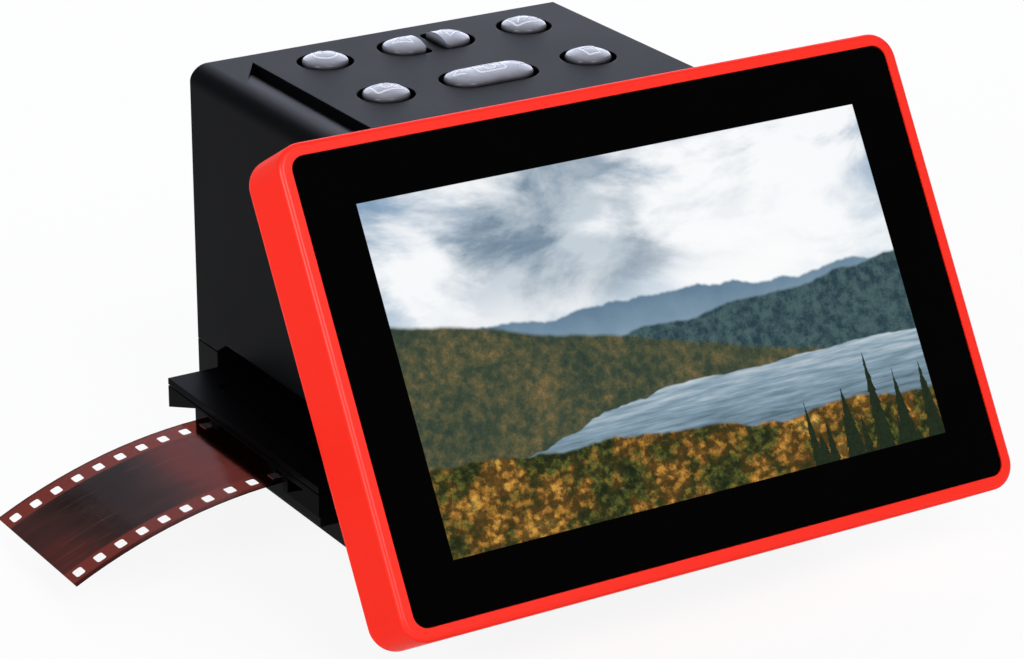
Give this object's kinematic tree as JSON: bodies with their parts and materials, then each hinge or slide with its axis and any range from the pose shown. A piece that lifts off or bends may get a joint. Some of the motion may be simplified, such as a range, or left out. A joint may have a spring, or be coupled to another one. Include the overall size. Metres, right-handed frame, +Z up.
{
  "type": "film negative scanner",
  "caption": "Desktop film scanner with a tilting colour display, domed keys and a film adapter with a hinged lid that slides through a slot.",
  "frame": {"origin": "on the table under the middle of the housing's foot print", "axes": "+X across the housing to the right as seen from the display side, +Y to the back, +Z up"},
  "size_m": [0.1639, 0.1271, 0.0924],
  "materials": {
    "black_shell": "fine satin texture",
    "black_inner": "matt",
    "red_frame": "semi-gloss",
    "key_grey": "soft gloss",
    "cover_glass": "polished",
    "lens": "polished",
    "panel": "satin",
    "steel": "satin",
    "tin": "satin",
    "reflector": "satin",
    "rubber": "matt",
    "board": "satin solder mask",
    "white_board": "satin solder mask",
    "chip": "matt",
    "led": "satin",
    "white": "matt",
    "ribbon": "satin",
    "adapter_black": "satin",
    "magnet": "plated",
    "film": "glossy, lightly see-through",
    "barrel": "anodised"
  },
  "bodies": {
    "housing": {"base_housing": "black_shell", "upper_housing": "black_shell", "bottom_plate": "black_shell", "rubber_feet": "rubber", "case_screws": "steel", "slot_roof": "black_inner", "roof_screws": "steel", "lens_hood": "black_inner", "lens_mount": "black_inner", "lens_barrel": "barrel", "lens_glass": "lens", "camera_board": "board", "image_sensor": "chip", "camera_screws": "steel", "main_board": "board", "main_board_chips": "chip", "main_board_screws": "steel", "usb_socket": "tin", "hdmi_socket": "tin", "card_socket": "tin", "keypad_board": "board", "key_switches": "chip", "keypad_screws": "steel", "backlight_board": "white_board", "backlight_leds": "led", "reflector_box": "white", "diffuser_plate": "white", "backlight_screws": "steel", "guide_springs": "steel", "hinge_pins": "steel", "display_bumpers": "rubber", "camera_ribbon": "ribbon", "keypad_ribbon": "ribbon"},
    "display": {"display_frame": "red_frame", "display_back": "black_shell", "cover_glass": "cover_glass", "lcd_panel": "panel", "lcd_backlight": "reflector", "display_board": "board", "display_board_chips": "chip", "display_screws": "steel"},
    "power_key": {"power_key": "key_grey"},
    "left_key": {"left_key": "key_grey"},
    "right_key": {"right_key": "key_grey"},
    "gallery_key": {"gallery_key": "key_grey"},
    "mode_key": {"mode_key": "key_grey"},
    "capture_key": {"capture_key": "key_grey"},
    "delete_key": {"delete_key": "key_grey"},
    "adapter": {"adapter_tray": "adapter_black", "tray_magnets": "magnet", "lid_pins": "steel"},
    "lid": {"adapter_lid": "adapter_black", "lid_magnets": "magnet"},
    "film": {"film_strip": "film"}
  },
  "joints": [
    {"name": "display_tilt", "type": "hinge", "parent": "housing", "child": "display", "pos_m": [0, -0.0177, 0.0833], "axis": [-1, 0, 0], "range_deg": [0, 40]},
    {"name": "adapter_slide", "type": "slide", "parent": "housing", "child": "adapter", "axis": [-1, 0, 0], "range_m": [0, 0.096]},
    {"name": "adapter_lid_hinge", "type": "hinge", "parent": "adapter", "child": "lid", "pos_m": [0.024, 0.0373, 0.01925], "axis": [-1, 0, 0], "range_deg": [0, 4]},
    {"name": "film_slide", "type": "slide", "parent": "adapter", "child": "film", "axis": [-1, 0, 0], "range_m": [0, 0.038]},
    {"name": "power_key_press", "type": "slide", "parent": "housing", "child": "power_key", "axis": [0, 0, -1], "range_m": [0, 0.0007], "stiffness_N_per_m": 1500},
    {"name": "left_key_press", "type": "slide", "parent": "housing", "child": "left_key", "axis": [0, 0, -1], "range_m": [0, 0.0007], "stiffness_N_per_m": 1500},
    {"name": "right_key_press", "type": "slide", "parent": "housing", "child": "right_key", "axis": [0, 0, -1], "range_m": [0, 0.0007], "stiffness_N_per_m": 1500},
    {"name": "gallery_key_press", "type": "slide", "parent": "housing", "child": "gallery_key", "axis": [0, 0, -1], "range_m": [0, 0.0007], "stiffness_N_per_m": 1500},
    {"name": "mode_key_press", "type": "slide", "parent": "housing", "child": "mode_key", "axis": [0, 0, -1], "range_m": [0, 0.0007], "stiffness_N_per_m": 1500},
    {"name": "capture_key_press", "type": "slide", "parent": "housing", "child": "capture_key", "axis": [0, 0, -1], "range_m": [0, 0.0007], "stiffness_N_per_m": 1500},
    {"name": "delete_key_press", "type": "slide", "parent": "housing", "child": "delete_key", "axis": [0, 0, -1], "range_m": [0, 0.0007], "stiffness_N_per_m": 1500}
  ]
}
